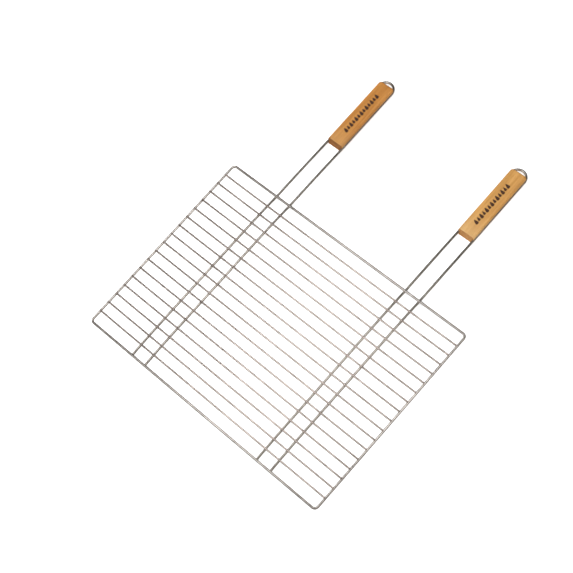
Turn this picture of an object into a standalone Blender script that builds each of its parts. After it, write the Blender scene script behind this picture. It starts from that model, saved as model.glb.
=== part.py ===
"""Handled grill grate: a flat wire grate with two long wire handles and wooden grips.

Metres, +Z up. X runs along the grate's long side, and Y from its front edge towards the grips.
The origin is below the middle of the whole object, at the height of the grips' undersides.
Every wire is a curve with a round bevel. Pieces that are welded or sprung together keep GAP.
"""
import math

import bmesh
import bpy
from mathutils import Matrix, Vector

# Driving dimensions.
GRATE_LENGTH = 0.500            # over the frame's side members, along X
GRATE_WIDTH = 0.348             # over the frame's front and back members, along Y
FRAME_WIRE = 0.004              # diameters of the three kinds of wire
HANDLE_WIRE = 0.004
BAR_WIRE = 0.003
CORNER_RADIUS = 0.0062          # of the frame, on the wire's centre line
BAR_COUNT = 17
BAR_PITCH = 0.01875
HANDLE_SPREAD = 0.277           # between the centre lines of the two handles
LEG_SPACING = 0.029             # between the centre lines of one handle's legs
LEG_RISE = 0.0027               # how far the bars pull a leg up in the middle of the grate
LEG_BOW_POWER = 6               # how soon it rises behind the members; higher is sooner
LEG_END_PAST = 0.001            # from the front member's centre line to the end of a leg
BAR_FLAT_PAST_LEG = 0.004       # how far a bar stays level beyond a handle's outer leg
HANDLE_DROOP = 0.0019           # how far the legs sink between the back member and the grip
GRIP_SETBACK = 0.1253           # from the back member's centre line to the grip
GRIP_LENGTH = 0.1346
GRIP_WIDTH = 0.0306
GRIP_THICKNESS = 0.012
GRIP_BELOW_WIRE = 0.0051        # from the wire's centre line down to the grip's underside
GRIP_FRONT_SLANT = 0.005        # how far the top edge of the front end lies behind the lower one
GRIP_CORNER = 0.005             # radius of the far corners, seen from above
GRIP_TOP_EDGE = 0.0032          # radius of the edges round the top
GRIP_LOW_EDGE = 0.003           # radius of the edges round the underside
GROOVE_CLEARANCE = 0.0004       # between the wire and its groove
LOOP_REACH = 0.0068             # from the grip's far end to the loop's centre line
GAP = 0.0003                    # between pieces that touch
WELD_DISTANCE = 0.00001         # below which two points of one piece become one
NEAR = 0.0001                   # tolerance for picking edges and points by their place
ROUND_PROFILE = 0.5             # of a bevel whose section is a quarter circle

# Resolution of the round stretches.
WIRE_SIDES_RESOLUTION = 2
CORNER_STEPS = 6
DROOP_STEPS = 6
BAR_BEND_STEPS = 5
LOOP_STEPS = 14
GRIP_CORNER_STEPS = 4
GRIP_TOP_STEPS = 5
GRIP_LOW_STEPS = 3

# Places worked out from the driving dimensions, first from the middle of the grate.
SIDE_X = (GRATE_LENGTH - FRAME_WIRE) / 2
END_Y = (GRATE_WIDTH - FRAME_WIRE) / 2
GRIP_START = END_Y + GRIP_SETBACK
GRIP_END = GRIP_START + GRIP_LENGTH
LOOP_END = GRIP_END + LOOP_REACH
GRATE_CENTRE_Y = (GRATE_WIDTH / 2 - LOOP_END - HANDLE_WIRE / 2) / 2
GRIP_WIRE_Z = GRIP_BELOW_WIRE
LEG_LOW_Z = GRIP_WIRE_Z + HANDLE_DROOP
FRAME_Z = LEG_LOW_Z + (HANDLE_WIRE + FRAME_WIRE) / 2 + GAP
BAR_ABOVE_WIRE = (FRAME_WIRE + BAR_WIRE) / 2 + GAP
BAR_END_Z = FRAME_Z + BAR_ABOVE_WIRE
BAR_Y = [(index - (BAR_COUNT - 1) / 2) * BAR_PITCH for index in range(BAR_COUNT)]


def clear_scene():
    """Remove every object and the collections of an earlier run."""
    for found in list(bpy.data.objects):
        bpy.data.objects.remove(found, do_unlink=True)
    for found in list(bpy.data.collections):
        bpy.data.collections.remove(found)


def new_collection(name):
    collection = bpy.data.collections.new(name)
    bpy.context.scene.collection.children.link(collection)
    return collection


def make_material(name, colour, metallic, roughness):
    material = bpy.data.materials.new(name)
    material.use_nodes = True
    shader = material.node_tree.nodes["Principled BSDF"]
    shader.inputs["Base Color"].default_value = (*colour, 1.0)
    shader.inputs["Metallic"].default_value = metallic
    shader.inputs["Roughness"].default_value = roughness
    return material


def make_wire(name, points, diameter, collection, material=None, closed=False):
    """Round wire along points given from the middle of the grate, at true height."""
    curve = bpy.data.curves.new(name, "CURVE")
    curve.dimensions = "3D"
    curve.bevel_depth = diameter / 2
    curve.bevel_resolution = WIRE_SIDES_RESOLUTION
    curve.use_fill_caps = not closed
    spline = curve.splines.new("POLY")
    spline.points.add(len(points) - 1)
    for target, place in zip(spline.points, points):
        target.co = (*place, 1.0)
    spline.use_cyclic_u = closed
    spline.use_smooth = True
    wire = bpy.data.objects.new(name, curve)
    wire.location = (0.0, GRATE_CENTRE_Y, 0.0)
    collection.objects.link(wire)
    if material:
        curve.materials.append(material)
    return wire


def frame_path():
    """Closed rounded rectangle, one quarter turn at each corner."""
    points = []
    middle_x = SIDE_X - CORNER_RADIUS
    middle_y = END_Y - CORNER_RADIUS
    corners = ((1, 1, 0), (-1, 1, 90), (-1, -1, 180), (1, -1, 270))
    for side_x, side_y, start in corners:
        for step in range(CORNER_STEPS + 1):
            angle = math.radians(start + 90 * step / CORNER_STEPS)
            x = side_x * middle_x + CORNER_RADIUS * math.cos(angle)
            y = side_y * middle_y + CORNER_RADIUS * math.sin(angle)
            points.append(Vector((x, y, FRAME_Z)))
    return points


def leg_z(y):
    """Height of a leg: bowed up to the bars inside the frame, and sinking towards the grip."""
    if y > END_Y:
        return LEG_LOW_Z - HANDLE_DROOP * ((y - END_Y) / GRIP_SETBACK) ** 2
    share = min(abs(y) / END_Y, 1.0)
    return LEG_LOW_Z + LEG_RISE * (1 - share ** LEG_BOW_POWER)


def bar_path(y):
    """One bar: level over the legs, then springing up to end on top of the side members."""
    low = leg_z(y) + BAR_ABOVE_WIRE
    flat = (HANDLE_SPREAD + LEG_SPACING) / 2 + BAR_FLAT_PAST_LEG
    half = [Vector((flat, y, low))]
    for step in range(1, BAR_BEND_STEPS + 1):
        share = step / BAR_BEND_STEPS
        rise = (3 * share ** 2 - share ** 3) / 2
        half.append(Vector((flat + (SIDE_X - flat) * share, y, low + (BAR_END_Z - low) * rise)))
    mirrored = [Vector((-point.x, point.y, point.z)) for point in reversed(half)]
    return mirrored + half


def loop_path(centre_x, start_y):
    """From start_y on the left leg, round the hanging loop, and back on the right leg."""
    radius = LEG_SPACING / 2
    loop_y = LOOP_END - radius
    points = [Vector((centre_x - radius, start_y, GRIP_WIRE_Z))]
    for step in range(LOOP_STEPS + 1):
        angle = math.pi * (1 - step / LOOP_STEPS)
        x = centre_x + radius * math.cos(angle)
        y = loop_y + radius * math.sin(angle)
        points.append(Vector((x, y, GRIP_WIRE_Z)))
    points.append(Vector((centre_x + radius, start_y, GRIP_WIRE_Z)))
    return points


def leg_start(x):
    """One leg, from its end below the front member to just before the grip."""
    droop = [END_Y + GRIP_SETBACK * step / DROOP_STEPS for step in range(DROOP_STEPS)]
    return [Vector((x, y, leg_z(y))) for y in (-END_Y - LEG_END_PAST, -END_Y, *BAR_Y, *droop)]


def handle_path(centre_x):
    left = leg_start(centre_x - LEG_SPACING / 2)
    right = leg_start(centre_x + LEG_SPACING / 2)
    return left + loop_path(centre_x, GRIP_START) + right[::-1]


def as_mesh(source, collection):
    """Turn a curve object into a welded mesh object of the same name and place."""
    graph = bpy.context.evaluated_depsgraph_get()
    mesh = bpy.data.meshes.new_from_object(source.evaluated_get(graph))
    shape = bmesh.new()
    shape.from_mesh(mesh)
    bmesh.ops.remove_doubles(shape, verts=shape.verts, dist=WELD_DISTANCE)
    bmesh.ops.recalc_face_normals(shape, faces=shape.faces)
    shape.to_mesh(mesh)
    shape.free()
    name = source.name
    placed = source.matrix_world.copy()
    bpy.data.objects.remove(source, do_unlink=True)
    solid = bpy.data.objects.new(name, mesh)
    solid.matrix_world = placed
    collection.objects.link(solid)
    return solid


def edges_between(shape, test):
    return [edge for edge in shape.edges if all(test(vert.co) for vert in edge.verts)]


def round_rim(shape, height, far, radius, steps):
    """Round the edges at one height, except the one along the front end."""
    rim = edges_between(shape, lambda co: abs(co.z - height) < NEAR)
    rim = [edge for edge in rim if any(vert.co.y > -far for vert in edge.verts)]
    bmesh.ops.bevel(shape, geom=rim, offset=radius, segments=steps,
                    profile=ROUND_PROFILE, affect="EDGES")


def make_grip(name, centre_x, material, parts, cutters):
    """Wooden block with rounded edges, a slanted front end and a wire groove down each side."""
    shape = bmesh.new()
    bmesh.ops.create_cube(shape, size=1.0)
    size = Matrix.Diagonal((GRIP_WIDTH, GRIP_LENGTH, GRIP_THICKNESS, 1.0))
    bmesh.ops.transform(shape, matrix=size, verts=shape.verts)
    far = GRIP_LENGTH / 2 - NEAR
    far_corners = [edge for edge in edges_between(shape, lambda co: co.y > far)
                   if abs(edge.verts[0].co.z - edge.verts[1].co.z) > GRIP_THICKNESS / 2]
    bmesh.ops.bevel(shape, geom=far_corners, offset=GRIP_CORNER, segments=GRIP_CORNER_STEPS,
                    profile=ROUND_PROFILE, affect="EDGES")
    round_rim(shape, GRIP_THICKNESS / 2, far, GRIP_TOP_EDGE, GRIP_TOP_STEPS)
    round_rim(shape, -GRIP_THICKNESS / 2, far, GRIP_LOW_EDGE, GRIP_LOW_STEPS)
    for vert in shape.verts:
        if vert.co.y < -far:
            vert.co.y += GRIP_FRONT_SLANT * (vert.co.z / GRIP_THICKNESS + 0.5)
    mesh = bpy.data.meshes.new(name)
    shape.to_mesh(mesh)
    shape.free()
    mesh.materials.append(material)
    grip = bpy.data.objects.new(name, mesh)
    grip.location = (centre_x, GRATE_CENTRE_Y + (GRIP_START + GRIP_END) / 2, GRIP_THICKNESS / 2)
    parts.objects.link(grip)

    groove_path = loop_path(centre_x, GRIP_START - GRIP_CORNER)
    groove = make_wire(name + "_groove", groove_path, HANDLE_WIRE + 2 * GROOVE_CLEARANCE, cutters)
    bpy.context.view_layer.update()
    groove = as_mesh(groove, cutters)
    groove.hide_render = True
    groove.display_type = "WIRE"
    cut = grip.modifiers.new("Grooves", "BOOLEAN")
    cut.operation = "DIFFERENCE"
    cut.solver = "EXACT"
    cut.object = groove
    return grip


def main():
    clear_scene()
    parts = new_collection("grill_grate")
    cutters = new_collection("cutters")
    frame_chrome = make_material("frame_chrome", (0.60, 0.58, 0.56), 1.0, 0.22)
    bar_chrome = make_material("bar_chrome", (0.66, 0.64, 0.62), 1.0, 0.25)
    handle_chrome = make_material("handle_chrome", (0.52, 0.51, 0.49), 1.0, 0.20)
    left_wood = make_material("left_wood", (0.62, 0.28, 0.08), 0.0, 0.38)
    right_wood = make_material("right_wood", (0.70, 0.37, 0.14), 0.0, 0.38)

    make_wire("outer_frame", frame_path(), FRAME_WIRE, parts, frame_chrome, closed=True)
    for number, y in enumerate(BAR_Y, start=1):
        make_wire(f"bar_{number:02d}", bar_path(y), BAR_WIRE, parts, bar_chrome)
    for side, sign, wood in (("left", -1, left_wood), ("right", 1, right_wood)):
        centre_x = sign * HANDLE_SPREAD / 2
        make_wire(f"{side}_handle_wire", handle_path(centre_x), HANDLE_WIRE, parts, handle_chrome)
        make_grip(f"{side}_grip", centre_x, wood, parts, cutters)


main()
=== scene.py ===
"""The looks of the handled grill grate: chromed wires, their welds, and varnished wooden grips.

Metres, +Z up, in the frame of the CAD part. Every place comes from the frame's boxes.
"""
import math
import random

import bmesh
import bpy
from mathutils import Matrix, Vector


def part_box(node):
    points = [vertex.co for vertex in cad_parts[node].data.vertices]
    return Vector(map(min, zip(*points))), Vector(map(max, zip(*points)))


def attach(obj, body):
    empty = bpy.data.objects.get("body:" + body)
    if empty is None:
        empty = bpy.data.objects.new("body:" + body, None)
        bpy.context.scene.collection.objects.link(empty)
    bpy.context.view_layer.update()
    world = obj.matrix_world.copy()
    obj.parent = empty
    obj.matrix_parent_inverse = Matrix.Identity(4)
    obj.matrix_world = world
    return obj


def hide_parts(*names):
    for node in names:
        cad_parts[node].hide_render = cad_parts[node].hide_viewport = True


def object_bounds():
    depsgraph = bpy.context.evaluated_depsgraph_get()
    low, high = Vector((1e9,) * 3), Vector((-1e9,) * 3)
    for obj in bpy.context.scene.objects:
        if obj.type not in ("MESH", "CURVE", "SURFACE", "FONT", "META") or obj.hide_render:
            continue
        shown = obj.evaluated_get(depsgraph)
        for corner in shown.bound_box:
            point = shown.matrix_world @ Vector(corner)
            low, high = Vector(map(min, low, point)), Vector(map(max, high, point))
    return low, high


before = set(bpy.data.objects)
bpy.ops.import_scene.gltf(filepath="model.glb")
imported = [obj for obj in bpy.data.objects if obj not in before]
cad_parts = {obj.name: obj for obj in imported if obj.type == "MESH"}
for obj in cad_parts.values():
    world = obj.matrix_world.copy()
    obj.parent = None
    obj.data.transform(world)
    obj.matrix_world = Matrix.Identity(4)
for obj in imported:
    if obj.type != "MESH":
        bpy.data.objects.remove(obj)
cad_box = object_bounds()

# Wires. These sizes aren't given by the part's boxes.
BAR_COUNT = 17
HANDLE_WIRE = 0.004             # thickness
FRAME_CORNER = 0.0062           # radius of the frame's corners, on the wire's centre line
LEG_RISE = 0.0027               # how far the bars pull a leg up in the middle of the grate
LEG_BOW_POWER = 6               # how soon it rises behind the members; higher is sooner
LEG_END_CHAMFER = 0.0004
HANDLE_DROOP = 0.0019           # how far the legs sink between the back member and the grip
BAR_FLAT_PAST_LEG = 0.004       # how far a bar stays level beyond a handle's outer leg
BAR_END_ROUND = 0.0011
WELD_HALF_LENGTH = 0.0016
WELD_DEPTH = 0.0007             # how far a weld reaches out of the wire that is pressed on
WANDER = 0.00012                # how far a drawn wire strays from straight
WIRE_SIDES = 20
LOOP_STEPS = 40

# Grips.
GRIP_SLANT = 0.005              # of the front end, top edge behind lower edge
GRIP_CORNER = 0.005             # radius of the two far corners, seen from above
GRIP_TOP_EDGE = 0.0032          # radius of the edges round the top
GRIP_LOW_EDGE = 0.003           # radius of the edges round the underside
GRIP_FRONT_EDGE = 0.0005        # radius of the edges round the front end
GROOVE_CLEARANCE = 0.00025
GROOVE_OVERRUN = 0.005          # how far the groove's cutter starts in front of the grip
GROOVE_SIDES = 32
PALE_LENGTH = 0.045             # of the paler stretch of wood at a grip's front end
PALE_SHARE = 0.35
FLAME_COUNT = 13                # big and small ones in turn
FLAME_SPACING = 0.00635
FLAME_DEPTH = 0.00035
FLAME_LEAN = 0.16               # of the tip, as a share of the height
BIG_FLAME = (0.0098, 0.0064)    # height and width
SMALL_FLAME = (0.0076, 0.0053)
FLAMES_OFFSET = {"left": 0.0018, "right": -0.0010}      # along Y, from the grip's middle

UP, DOWN = Vector((0, 0, 1)), Vector((0, 0, -1))
rng = random.Random(7)

# Places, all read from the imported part.
frame_low, frame_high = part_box("outer_frame")
FRAME_R = (frame_high.z - frame_low.z) / 2
FRAME_Z = (frame_high.z + frame_low.z) / 2
SIDE_X = frame_high.x - FRAME_R
FRONT_Y = frame_low.y + FRAME_R
BACK_Y = frame_high.y - FRAME_R
bar_low, bar_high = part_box("bar_01")
BAR_R = (bar_high.y - bar_low.y) / 2
HANDLES = {side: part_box(f"{side}_handle_wire") for side in ("left", "right")}
LEG_X = [edge for low, high in HANDLES.values()
         for edge in (low.x + HANDLE_WIRE / 2, high.x - HANDLE_WIRE / 2)]
GRIP_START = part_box("left_grip")[0].y
GRIP_WIRE_Z = HANDLES["left"][0].z + HANDLE_WIRE / 2
LEG_LOW_Z = GRIP_WIRE_Z + HANDLE_DROOP


# Wires.
def smooth_bump(distance, half_length):
    """1 at a weld's middle, falling smoothly to 0 at half_length."""
    share = min(abs(distance) / half_length, 1.0)
    return (1 - share * share) ** 2


def stray(span):
    """Slow sideways wander of a drawn wire, as a function of the distance along it."""
    phases = [(rng.uniform(0, math.tau), rng.uniform(0.5, 1.0)) for _ in range(3)]

    def at(distance):
        total = 0.0
        for order, (phase, size) in enumerate(phases, start=2):
            total += size * math.sin(order * math.pi * distance / span + phase)
        return WANDER * total / len(phases)
    return at


def sweep(name, stations, material, sides=WIRE_SIDES, closed=False):
    """Round tube through stations of (place, radius, welds), welds being (direction, size) pairs.

    A weld swells the tube towards its direction, which is a unit vector across the wire.
    """
    shape = bmesh.new()
    count = len(stations)
    rings = []
    for index, (place, radius, welds) in enumerate(stations):
        before = stations[(index - 1) % count][0] if closed or index > 0 else place
        after = stations[(index + 1) % count][0] if closed or index < count - 1 else place
        along = (after - before).normalized()
        across = along.cross(UP).normalized()
        up = across.cross(along).normalized()
        ring = []
        for side in range(sides):
            angle = math.tau * side / sides
            outward = across * math.cos(angle) + up * math.sin(angle)
            reach = radius
            for direction, size in welds:
                facing = max(outward.dot(direction), 0.0)
                reach += size * facing ** 3
            ring.append(shape.verts.new(place + outward * reach))
        rings.append(ring)
    pairs = zip(rings, rings[1:] + ([rings[0]] if closed else []))
    for ring, following in pairs:
        for side in range(sides):
            beside = (side + 1) % sides
            shape.faces.new((ring[side], ring[beside], following[beside], following[side]))
    if not closed:
        shape.faces.new(rings[0])
        shape.faces.new(list(reversed(rings[-1])))
    bmesh.ops.recalc_face_normals(shape, faces=shape.faces)
    piece = to_object(shape, name, [material])
    smooth(piece, 50)
    return piece


def to_object(shape, name, materials):
    """New object from a bmesh, which is used up."""
    mesh = bpy.data.meshes.new(name)
    shape.to_mesh(mesh)
    shape.free()
    for material in materials:
        mesh.materials.append(material)
    made = bpy.data.objects.new(name, mesh)
    bpy.context.scene.collection.objects.link(made)
    return made


def smooth(piece, sharp_degrees):
    """Smooth shading, with edges that turn by more than that left sharp."""
    piece.data.shade_smooth()
    piece.data.set_sharp_from_angle(angle=math.radians(sharp_degrees))


def show(piece, node):
    """The piece stands for a CAD node: it joins the root body, and the node itself is hidden."""
    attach(piece, "root")
    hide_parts(node)


def bar_stations(low, high):
    """One cross bar, level over the handle legs and springing up to the side members' tops."""
    bar_steps, end_steps, weld_steps = 60, 5, 4
    y = (low.y + high.y) / 2
    low_z, end_z = low.z + BAR_R, high.z - BAR_R
    flat = max(LEG_X) + BAR_FLAT_PAST_LEG
    length = high.x - low.x
    sideways = stray(length)
    welds = [-SIDE_X, SIDE_X] + LEG_X
    marks = {end + side * BAR_END_ROUND * step / end_steps
             for end, side in ((low.x, 1), (high.x, -1)) for step in range(end_steps + 1)}
    marks |= {low.x + length * step / bar_steps for step in range(1, bar_steps)}
    for weld in welds:
        for step in range(-weld_steps, weld_steps + 1):
            mark = weld + WELD_HALF_LENGTH * step / weld_steps
            if low.x + BAR_END_ROUND < mark < high.x - BAR_END_ROUND:
                marks.add(mark)
    stations = []
    for x in sorted(marks):
        share = min(max((abs(x) - flat) / (SIDE_X - flat), 0.0), 1.0)
        z = low_z + (end_z - low_z) * (3 * share ** 2 - share ** 3) / 2
        size = WELD_DEPTH * max(smooth_bump(x - weld, WELD_HALF_LENGTH) for weld in welds)
        into_round = BAR_END_ROUND - min(x - low.x, high.x - x, BAR_END_ROUND)
        radius = BAR_R - BAR_END_ROUND + math.sqrt(BAR_END_ROUND ** 2 - into_round ** 2)
        stations.append((Vector((x, y + sideways(x - low.x), z)), radius, [(DOWN, size)]))
    return stations


def frame_stations():
    """The outer frame, a closed rounded rectangle."""
    corner_steps, side_steps = 14, 24
    inner_x, inner_y = SIDE_X - FRAME_CORNER, (BACK_Y - FRONT_Y) / 2 - FRAME_CORNER
    middle_y = (BACK_Y + FRONT_Y) / 2
    outline = []
    for side_x, side_y, start in ((1, 1, 0), (-1, 1, 90), (-1, -1, 180), (1, -1, 270)):
        for step in range(corner_steps + 1):
            angle = math.radians(start + 90 * step / corner_steps)
            x = side_x * inner_x + FRAME_CORNER * math.cos(angle)
            y = middle_y + side_y * inner_y + FRAME_CORNER * math.sin(angle)
            outline.append(Vector((x, y, FRAME_Z)))
    points = []
    for here, after in zip(outline, outline[1:] + outline[:1]):
        points.append(here)
        if (after - here).length > 3 * FRAME_CORNER:
            points += [here.lerp(after, step / side_steps) for step in range(1, side_steps)]
    return [(point, FRAME_R, []) for point in points]


def leg_z(y):
    """Height of a leg: bowed up to the bars inside the frame, and sinking towards the grip."""
    if y > BACK_Y:
        return LEG_LOW_Z - HANDLE_DROOP * min((y - BACK_Y) / (GRIP_START - BACK_Y), 1.0) ** 2
    share = min(abs(y - (FRONT_Y + BACK_Y) / 2) / ((BACK_Y - FRONT_Y) / 2), 1.0)
    return LEG_LOW_Z + LEG_RISE * (1 - share ** LEG_BOW_POWER)


def leg_stations(x, start_y, end_y):
    """One leg of a handle wire, from its chamfered front end to the loop."""
    inner_steps, outer_steps, weld_steps = 60, 30, 6
    weld_reach = 1.5 * WELD_HALF_LENGTH
    marks = {start_y, start_y + LEG_END_CHAMFER, start_y + 2 * LEG_END_CHAMFER}
    marks |= {FRONT_Y + (BACK_Y - FRONT_Y) * step / inner_steps for step in range(inner_steps + 1)}
    marks |= {BACK_Y + (end_y - BACK_Y) * step / outer_steps for step in range(outer_steps)}
    for member in (FRONT_Y, BACK_Y):
        marks |= {member + weld_reach * step / weld_steps
                  for step in range(-weld_steps, weld_steps + 1)}
    stations = []
    for y in sorted(mark for mark in marks if mark >= start_y):
        size = WELD_DEPTH * max(smooth_bump(y - member, weld_reach) for member in (FRONT_Y, BACK_Y))
        thinner = 0.8 * max(LEG_END_CHAMFER - (y - start_y), 0)
        stations.append((Vector((x, y, leg_z(y))), HANDLE_WIRE / 2 - thinner, [(UP, size)]))
    return stations


def loop_circle(side):
    """Middle and radius of the half circle at the end of a handle wire, on its centre line."""
    low, high = HANDLES[side]
    radius = (high.x - low.x) / 2 - HANDLE_WIRE / 2
    return (low.x + high.x) / 2, high.y - HANDLE_WIRE / 2 - radius, radius


def loop_places(side):
    """Places round the loop of a handle wire, from the left leg to the right one."""
    middle_x, middle_y, radius = loop_circle(side)
    places = []
    for step in range(LOOP_STEPS + 1):
        angle = math.pi * (1 - step / LOOP_STEPS)
        places.append(Vector((middle_x + radius * math.cos(angle),
                              middle_y + radius * math.sin(angle), GRIP_WIRE_Z)))
    return places


def handle_stations(side):
    """One handle wire: a leg below the grate, the loop round the grip, and the other leg."""
    middle_x, middle_y, radius = loop_circle(side)
    start_y = HANDLES[side][0].y
    left = leg_stations(middle_x - radius, start_y, middle_y)
    right = leg_stations(middle_x + radius, start_y, middle_y)
    loop = [(place, HANDLE_WIRE / 2, []) for place in loop_places(side)]
    return left + loop + right[::-1]


# Materials.
class Nodes:
    """Short names for building a node tree."""

    def __init__(self, tree):
        self.tree = tree

    def node(self, kind, **settings):
        made = self.tree.nodes.new(kind)
        for key, value in settings.items():
            setattr(made, key, value)
        return made

    def link(self, source, target):
        self.tree.links.new(source, target)

    def place(self, scale=(1.0, 1.0, 1.0)):
        """Object coordinates, stretched by scale."""
        coordinates = self.node("ShaderNodeTexCoord")
        mapping = self.node("ShaderNodeMapping")
        mapping.inputs["Scale"].default_value = scale
        self.link(coordinates.outputs["Object"], mapping.inputs["Vector"])
        return mapping.outputs["Vector"]

    def axes(self, vector):
        """The X, Y and Z of a vector, as a node's outputs."""
        made = self.node("ShaderNodeSeparateXYZ")
        self.link(vector, made.inputs["Vector"])
        return made.outputs

    def noise(self, vector, scale, detail=2.0, roughness=0.5, distortion=0.0):
        made = self.node("ShaderNodeTexNoise")
        made.inputs["Scale"].default_value = scale
        made.inputs["Detail"].default_value = detail
        made.inputs["Roughness"].default_value = roughness
        made.inputs["Distortion"].default_value = distortion
        self.link(vector, made.inputs["Vector"])
        return made.outputs["Fac"]

    def ramp(self, source, stops):
        """Colour that changes with source, through stops of (value, colour)."""
        made = self.node("ShaderNodeValToRGB")
        ramp = made.color_ramp
        while len(ramp.elements) < len(stops):
            ramp.elements.new(0.5)
        for element, (place, colour) in zip(ramp.elements, stops):
            element.position = place
            element.color = (*colour, 1.0)
        self.link(source, made.inputs["Fac"])
        return made.outputs["Color"]

    def span(self, source, low, high, from_low=0.0, from_high=1.0):
        """Number from low to high, while source goes from from_low to from_high."""
        made = self.node("ShaderNodeMapRange")
        for key, value in (("From Min", from_low), ("From Max", from_high),
                           ("To Min", low), ("To Max", high)):
            made.inputs[key].default_value = value
        self.link(source, made.inputs["Value"])
        return made.outputs["Result"]

    def mix(self, share, first, second, blend="MIX"):
        """Mix of two colours, each a node's output or a plain value, as share is."""
        made = self.node("ShaderNodeMix", data_type="RGBA", blend_type=blend)
        for value, socket in ((share, made.inputs[0]), (first, made.inputs[6]),
                              (second, made.inputs[7])):
            if isinstance(value, bpy.types.NodeSocket):
                self.link(value, socket)
            else:
                socket.default_value = value if isinstance(value, float) else (*value, 1.0)
        return made.outputs[2]


class Finish(Nodes):
    """A new material, with its shader."""

    def __init__(self, name):
        self.material = bpy.data.materials.new(name)
        self.material.use_nodes = True
        super().__init__(self.material.node_tree)
        self.shader = self.tree.nodes["Principled BSDF"]

    def feed(self, socket, source):
        self.link(source, self.shader.inputs[socket])

    def fix(self, socket, value):
        self.shader.inputs[socket].default_value = value

    def bump(self, height, strength, distance):
        made = self.node("ShaderNodeBump")
        made.inputs["Strength"].default_value = strength
        made.inputs["Distance"].default_value = distance
        self.link(height, made.inputs["Height"])
        self.feed("Normal", made.outputs["Normal"])


def chrome(name, dark, light, along):
    """Bright plated wire with faint drawing marks along one axis and slightly uneven tone."""
    made = Finish(name)
    stretch = tuple(0.04 if axis == along else 1.0 for axis in "xyz")
    marks = made.noise(made.place(stretch), scale=1400.0)
    tone = made.noise(made.place(), scale=45.0, detail=4.0, roughness=0.6)
    made.feed("Base Color", made.ramp(tone, ((0.32, dark), (0.68, light))))
    made.fix("Metallic", 1.0)
    made.feed("Roughness", made.span(marks, 0.27, 0.38, from_low=0.3, from_high=0.7))
    made.bump(marks, strength=0.12, distance=0.00003)
    return made.material


def wood(name, light, middle, dark, pale, end_grain=False):
    """Varnished fine-grained hardwood, its grain along the grip, paler towards the front end."""
    made = Finish(name)
    place = made.place() if end_grain else made.place((1.0, 0.045, 1.0))
    figure = made.noise(place, scale=190.0, detail=5.0, roughness=0.62, distortion=0.6)
    fibre = made.noise(place, scale=1500.0, detail=3.0, roughness=0.7)
    blotch = made.noise(made.place((1.0, 0.35, 1.0)), scale=60.0)
    white = (1.0, 1.0, 1.0)
    colour = made.ramp(figure, ((0.30, dark), (0.50, middle), (0.70, light)))
    fleck = made.ramp(fibre, ((0.30, (0.62, 0.55, 0.48)), (0.46, white)))
    colour = made.mix(0.75, colour, fleck, "MULTIPLY")
    shade = made.ramp(blotch, ((0.30, (0.86, 0.84, 0.80)), (0.70, white)))
    colour = made.mix(1.0, colour, shade, "MULTIPLY")
    paler = made.span(made.axes(made.place())["Y"], 0.0, PALE_SHARE,
                      from_low=GRIP_START + PALE_LENGTH, from_high=GRIP_START)
    made.feed("Base Color", made.mix(paler, colour, pale))
    rough_low, rough_high = (0.60, 0.80) if end_grain else (0.34, 0.50)
    made.feed("Roughness", made.span(figure, rough_low, rough_high, from_low=0.3, from_high=0.7))
    made.fix("Specular IOR Level", 0.15 if end_grain else 0.35)
    made.fix("Coat Weight", 0.0 if end_grain else 0.2)
    made.fix("Coat Roughness", 0.2)
    made.bump(fibre, strength=0.35, distance=0.00006)
    return made.material


def burnt(name):
    """Wood burnt dark brown by a hot stamp."""
    made = Finish(name)
    grain = made.noise(made.place((1.0, 0.06, 1.0)), scale=900.0, detail=4.0, roughness=0.65)
    charred, scorched = (0.018, 0.007, 0.003), (0.075, 0.028, 0.009)
    made.feed("Base Color", made.ramp(grain, ((0.30, charred), (0.70, scorched))))
    made.feed("Roughness", made.span(grain, 0.5, 0.75))
    made.bump(grain, strength=0.5, distance=0.00008)
    return made.material


def table_white(name):
    """The lit white table that the grate lies on."""
    made = Finish(name)
    grey, white = (0.78, 0.78, 0.78), (0.82, 0.82, 0.82)
    tone = made.ramp(made.noise(made.place(), scale=3.0), ((0.3, grey), (0.7, white)))
    made.feed("Base Color", tone)
    made.feed("Emission Color", tone)
    made.fix("Emission Strength", FLOOR_GLOW)
    made.fix("Roughness", 0.9)
    made.fix("Specular IOR Level", 0.1)
    return made.material


# Grips.
def round_edges(shape, edges, radius, steps):
    bmesh.ops.bevel(shape, geom=edges, offset=radius, segments=steps, profile=0.5, affect="EDGES")


def grip_block(low, high):
    """The wooden block in its place, before its grooves are cut."""
    size, middle = high - low, (high + low) / 2
    near = 0.0001
    shape = bmesh.new()
    bmesh.ops.create_cube(shape, size=1.0)
    place = Matrix.Translation(middle) @ Matrix.Diagonal((*size, 1.0))
    bmesh.ops.transform(shape, matrix=place, verts=shape.verts)
    corners = [edge for edge in shape.edges
               if all(vert.co.y > middle.y for vert in edge.verts)
               and abs(edge.verts[0].co.z - edge.verts[1].co.z) > size.z / 2]
    round_edges(shape, corners, GRIP_CORNER, 14)
    for height, radius, steps in ((high.z, GRIP_TOP_EDGE, 10), (low.z, GRIP_LOW_EDGE, 5)):
        rim = [edge for edge in shape.edges
               if all(abs(vert.co.z - height) < near for vert in edge.verts)
               and any(vert.co.y > low.y + near for vert in edge.verts)]
        round_edges(shape, rim, radius, steps)
    for vert in shape.verts:
        if vert.co.y < low.y + near:
            vert.co.y += GRIP_SLANT * (vert.co.z - low.z) / size.z
    front = max((face for face in shape.faces if face.normal.y < -0.5),
                key=lambda face: face.calc_area())
    front.material_index = 1
    round_edges(shape, list(front.edges), GRIP_FRONT_EDGE, 2)
    return shape


def groove_stations(side):
    """The handle wire near the grip, a little thicker than it is, to cut the grooves with."""
    loop = loop_places(side)
    start_y = GRIP_START - GROOVE_OVERRUN
    first, last = (Vector((end.x, start_y, end.z)) for end in (loop[0], loop[-1]))
    radius = HANDLE_WIRE / 2 + GROOVE_CLEARANCE
    return [(place, radius, []) for place in (first, *loop, last)]


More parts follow.
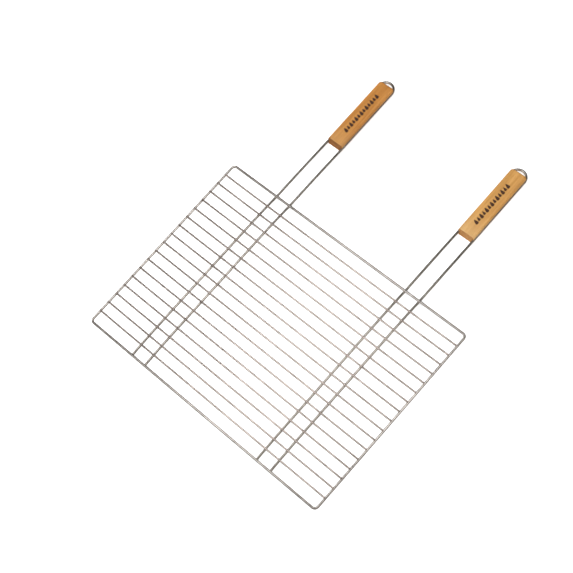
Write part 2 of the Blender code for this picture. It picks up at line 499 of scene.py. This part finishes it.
def flame_outline(height, width):
    """A plain flame: a rounded foot and a tip that leans, as points from its foot's middle."""
    steps, foot, taper = 12, 0.62, 0.45
    right, left = [], []
    for step in range(steps + 1):
        share = step / steps
        belly = math.sqrt(max(math.sin(math.pi * share ** foot), 0.0))
        half = width / 2 * belly * (1 - share * taper)
        bend = FLAME_LEAN * height * share * share
        right.append((bend + half, share * height))
        left.append((bend - half, share * height))
    return right + left[-2:0:-1]


def flame_cutter(side):
    """A row of small flames along the grip's top, to press them into it."""
    low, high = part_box(f"{side}_grip")
    middle = (low + high) / 2 + Vector((0.0, FLAMES_OFFSET[side], 0.0))
    shape = bmesh.new()
    for index in range(FLAME_COUNT):
        height, width = SMALL_FLAME if index % 2 else BIG_FLAME
        along = (index - (FLAME_COUNT - 1) / 2) * FLAME_SPACING
        verts = [shape.verts.new((middle.x + height / 2 - up, middle.y + along + aside,
                                  high.z - FLAME_DEPTH))
                 for aside, up in flame_outline(height, width)]
        lifted = bmesh.ops.extrude_face_region(shape, geom=[shape.faces.new(verts)])
        tops = [item for item in lifted["geom"] if isinstance(item, bmesh.types.BMVert)]
        bmesh.ops.translate(shape, verts=tops, vec=(0, 0, 2 * FLAME_DEPTH))
    bmesh.ops.recalc_face_normals(shape, faces=shape.faces)
    return shape


def cut(target, cutter):
    """Cut one piece's shape out of another; the cut faces take the cutter's material."""
    modifier = target.modifiers.new("Cut", "BOOLEAN")
    modifier.operation = "DIFFERENCE"
    modifier.solver = "EXACT"
    modifier.material_mode = "TRANSFER"
    modifier.object = cutter
    graph = bpy.context.evaluated_depsgraph_get()
    mesh = bpy.data.meshes.new_from_object(target.evaluated_get(graph))
    target.modifiers.clear()
    target.data = mesh
    bpy.data.objects.remove(cutter, do_unlink=True)


def make_grip(side, face_wood, end_wood_shaded, burn):
    """One wooden grip, with grooves for its wire and flames burnt into its top."""
    low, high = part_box(f"{side}_grip")
    grip = to_object(grip_block(low, high), f"{side}_wooden_grip", [face_wood, end_wood_shaded])
    cut(grip, sweep(f"{side}_groove", groove_stations(side), face_wood, sides=GROOVE_SIDES))
    cut(grip, to_object(flame_cutter(side), f"{side}_flames", [burn]))
    smooth(grip, 35)
    weighted = grip.modifiers.new("Weighted normals", "WEIGHTED_NORMAL")
    weighted.keep_sharp = True
    show(grip, f"{side}_grip")


# The object.
frame_chrome = chrome("chrome_frame", (0.55, 0.495, 0.455), (0.72, 0.665, 0.615), along="x")
bar_chrome = chrome("chrome_bars", (0.58, 0.485, 0.432), (0.755, 0.65, 0.60), along="x")
handle_chrome = chrome("chrome_handles", (0.465, 0.415, 0.367), (0.615, 0.56, 0.50), along="y")
burn = burnt("wood_burnt")

frame_wire = sweep("frame_wire", frame_stations(), frame_chrome, closed=True)
show(frame_wire, "outer_frame")
for index in range(1, BAR_COUNT + 1):
    node = f"bar_{index:02d}"
    show(sweep(f"cross_{node}", bar_stations(*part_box(node)), bar_chrome), node)
for side in HANDLES:
    wire = sweep(f"{side}_leg_and_loop_wire", handle_stations(side), handle_chrome)
    show(wire, f"{side}_handle_wire")

left_wood = wood("wood_left", light=(0.557, 0.26, 0.0623), middle=(0.47, 0.202, 0.041),
                 dark=(0.357, 0.1365, 0.0233), pale=(0.50, 0.314, 0.13))
# The grips' front ends: darker partly because end grain is, and partly by painted shade, since the
# front ends face away from the light overhead.
left_end_grain_and_shade = wood("wood_left_end", light=(0.34, 0.145, 0.048), middle=(0.26, 0.107, 0.032),
                dark=(0.17, 0.063, 0.017), pale=(0.26, 0.107, 0.032), end_grain=True)
right_wood = wood("wood_right", light=(0.616, 0.341, 0.104), middle=(0.528, 0.268, 0.070),
                  dark=(0.414, 0.191, 0.043), pale=(0.615, 0.455, 0.232))
# The right front end's wood: end grain, darkened a little further by painted shade.
right_end_grain_and_shade = wood("wood_right_end", light=(0.52, 0.265, 0.095), middle=(0.43, 0.208, 0.071),
                 dark=(0.31, 0.142, 0.043), pale=(0.43, 0.208, 0.071), end_grain=True)
make_grip("left", left_wood, left_end_grain_and_shade, burn)
make_grip("right", right_wood, right_end_grain_and_shade, burn)


# Floor, light and camera.
FLOOR_SIZE = 8.0
FLOOR_GAP = 0.0002              # between the floor and the object's lowest point
FLOOR_GLOW = 0.6875             # the table is lit, so that wires cast hardly any shadow
# What the chrome mirrors above the horizon, as pairs of how far a direction points to the back
# and its brightness: grey in front of the grate and over it, and dark behind the grips.
SKY = ((-1.0, 0.26), (0.0, 0.27), (0.07, 0.27), (0.15, 0.17), (0.25, 0.03), (1.0, 0.008))
SKY_TINT = (1.0, 0.985, 0.965)
SKY_LEFT = (-0.50, -0.43)       # X of the directions where the left's darker sky ends
SKY_LEFT_SHARE = 0.85           # its brightness, as a share of the rest's
MIRRORED_FLOOR = 0.50           # the chrome mirrors a duller floor than the one that is seen
HORIZON_BLUR = 0.03
OVERHEAD_POWER = 95.0
GLOW_POWER = 3.35
SIDE_GLOW_POWER = 1.6
CAMERA_FROM_GRATE = Vector((1.027425, -0.31695, 2.15221875))     # from the grate's middle
CAMERA_AZIMUTH = 70.128         # degrees from -Y towards +X
CAMERA_ELEVATION = 62.417
CAMERA_ROLL = 30.332            # degrees that the world's up leans to the left in the picture
CAMERA_LENS = 97.6


def sky_colour(level):
    return tuple(level * part for part in SKY_TINT)


def make_world():
    """A white background for the camera, and a studio of greys for what the chrome mirrors."""
    world = bpy.data.worlds.new("studio")
    bpy.context.scene.world = world
    world.use_nodes = True
    made = Nodes(world.node_tree)
    axes = made.axes(made.node("ShaderNodeTexCoord").outputs["Generated"])
    backwards = made.span(axes["Y"], 0.0, 1.0, from_low=-1.0)
    above = made.ramp(backwards, [((back + 1) / 2, sky_colour(level)) for back, level in SKY])
    upwards = made.span(axes["Z"], 0.0, 1.0, from_low=-HORIZON_BLUR, from_high=HORIZON_BLUR)
    mirrored = made.tree.nodes["Background"]
    made.link(made.mix(upwards, sky_colour(MIRRORED_FLOOR), above), mirrored.inputs["Color"])
    sideways = made.span(axes["X"], SKY_LEFT_SHARE, 1.0,
                         from_low=SKY_LEFT[0], from_high=SKY_LEFT[1])
    made.link(sideways, mirrored.inputs["Strength"])
    seen = made.node("ShaderNodeBackground")
    seen.inputs["Color"].default_value = (1.0, 1.0, 1.0, 1.0)
    either = made.node("ShaderNodeMixShader")
    made.link(made.node("ShaderNodeLightPath").outputs["Is Camera Ray"], either.inputs["Fac"])
    made.link(mirrored.outputs["Background"], either.inputs[1])
    made.link(seen.outputs["Background"], either.inputs[2])
    made.link(either.outputs["Shader"], made.tree.nodes["World Output"].inputs["Surface"])


def softbox(name, place, aim, size, power, mirrored=True):
    """Rectangular area light; one that isn't mirrored doesn't show in the chrome."""
    light = bpy.data.lights.new(name, "AREA")
    light.shape = "RECTANGLE"
    light.size, light.size_y = size
    light.energy = power
    lamp = bpy.data.objects.new(name, light)
    lamp.location = place
    lamp.rotation_euler = (Vector(aim) - Vector(place)).to_track_quat("-Z", "Y").to_euler()
    lamp.visible_glossy = mirrored
    bpy.context.scene.collection.objects.link(lamp)


def make_camera(place):
    """A long lens on the grate, from above its right end and a little in front of it."""
    data = bpy.data.cameras.new("camera")
    data.lens = CAMERA_LENS
    data.sensor_width = 36.0
    data.clip_end = 50.0
    camera = bpy.data.objects.new("camera", data)
    azimuth, elevation = math.radians(CAMERA_AZIMUTH), math.radians(CAMERA_ELEVATION)
    turn = (Matrix.Rotation(azimuth, 4, "Z") @ Matrix.Rotation(math.pi / 2 - elevation, 4, "X")
            @ Matrix.Rotation(math.radians(-CAMERA_ROLL), 4, "Z"))
    camera.matrix_world = Matrix.Translation(place) @ turn
    bpy.context.scene.collection.objects.link(camera)
    return camera


bpy.ops.mesh.primitive_plane_add(size=FLOOR_SIZE, location=(0.0, 0.0, cad_box[0].z - FLOOR_GAP))
floor = bpy.context.object
floor.name = "studio_floor"
floor.data.materials.append(table_white("studio_floor"))
floor.visible_glossy = False    # the world's lower half stands for it in the chrome

make_world()
softbox("overhead_fill", place=(0.0, 0.0, 2.4), aim=(0.0, 0.0, 0.0), size=(4.0, 4.0),
        power=OVERHEAD_POWER, mirrored=False)
softbox("near_glow", place=(-0.385, -0.17, 1.0), aim=(-0.385, -0.17, 0.0), size=(0.29, 0.85),
        power=GLOW_POWER)
softbox("side_glow", place=(0.5, 0.03, 0.8), aim=(0.2, 0.03, 0.0), size=(0.25, 0.8),
        power=SIDE_GLOW_POWER)
grate_middle = Vector((0.0, (FRONT_Y + BACK_Y) / 2, FRAME_Z))
bpy.context.scene.camera = make_camera(grate_middle + CAMERA_FROM_GRATE)
bpy.context.scene.view_settings.view_transform = "Standard"
